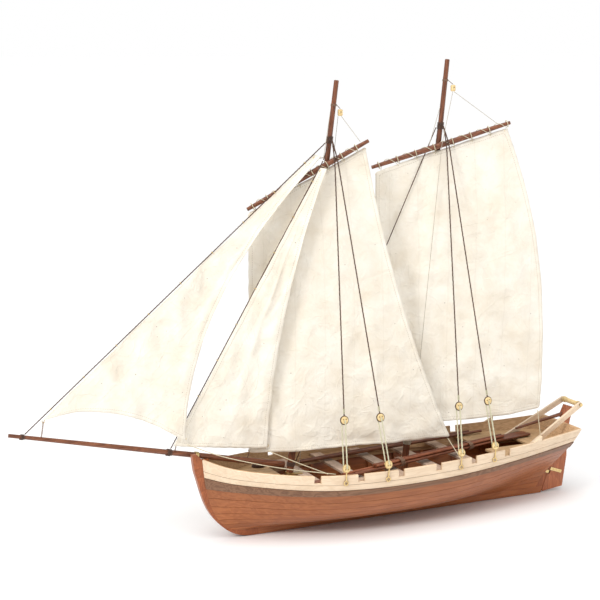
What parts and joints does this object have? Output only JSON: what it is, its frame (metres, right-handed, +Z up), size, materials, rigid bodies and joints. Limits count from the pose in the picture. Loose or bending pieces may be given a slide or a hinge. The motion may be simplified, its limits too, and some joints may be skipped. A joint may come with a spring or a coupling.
{
  "type": "model sailing ship",
  "caption": "Wooden model of an open two-masted launch with lug sails, two jibs, full rigging, oars, a swinging rudder with tiller and a stern davit with a turning roller.",
  "frame": {"origin": "middle of the keel's underside, on the centreline", "axes": "+X aft, +Y to starboard, +Z up"},
  "size_m": [0.4183, 0.0948, 0.3132],
  "materials": {
    "mahogany": "satin",
    "walnut": "satin",
    "limewood": "satin",
    "pear": "matte",
    "dark_spars": "satin",
    "brass": "satin",
    "sailcloth": "matte",
    "dark_cord": "matte",
    "light_cord": "matte"
  },
  "bodies": {
    "boat": {"belaying_turns": "light_cord", "block_strops": "dark_cord", "bow_platform": "pear", "bowsprit": "dark_spars", "bowsprit_band": "brass", "bulwark_lining_port": "pear", "bulwark_lining_starboard": "pear", "chainplates": "brass", "davit_arms": "limewood", "davit_chocks": "limewood", "davit_pin": "brass", "floorboards": "pear", "fore_yard": "dark_spars", "foremast": "dark_spars", "foresail": "sailcloth", "frames": "mahogany", "gudgeons": "brass", "halyard_blocks": "limewood", "halyards": "light_cord", "inner_jib": "sailcloth", "jib_hanks": "brass", "jib_stays": "dark_cord", "keel": "mahogany", "lanyards": "light_cord", "lower_deadeyes": "limewood", "lower_strake_port": "limewood", "lower_strake_starboard": "limewood", "main_stay": "dark_cord", "main_yard": "dark_spars", "mainmast": "dark_spars", "mainsail": "sailcloth", "mast_clamps": "brass", "mast_steps": "pear", "oar_lashings": "light_cord", "oars": "dark_spars", "outer_jib": "sailcloth", "planking_port": "mahogany", "planking_starboard": "mahogany", "robands": "light_cord", "rope_coils": "dark_cord", "rope_collars": "dark_cord", "sheets": "light_cord", "shrouds": "dark_cord", "spare_spars": "dark_spars", "stem": "mahogany", "stern_benches": "pear", "sternpost": "mahogany", "thwart_risers": "pear", "thwarts": "pear", "transom": "pear", "upper_deadeyes": "limewood", "upper_strake_port": "limewood", "upper_strake_starboard": "limewood", "wale_port": "walnut", "wale_starboard": "walnut"},
    "rudder_body": {"rudder": "mahogany", "tiller": "dark_spars", "rudder_pintles": "brass", "rudder_straps": "brass"},
    "roller_body": {"davit_roller": "limewood"}
  },
  "joints": [
    {"name": "rudder_swing", "type": "hinge", "parent": "boat", "child": "rudder_body", "pos_m": [0.12641, 0, 0], "axis": [0.3304, 0, 0.9439], "range_deg": [-20, 20]},
    {"name": "davit_roller_spin", "type": "hinge", "parent": "boat", "child": "roller_body", "pos_m": [0.1505, 0, 0.065], "axis": [0, 1, 0], "continuous": true}
  ]
}
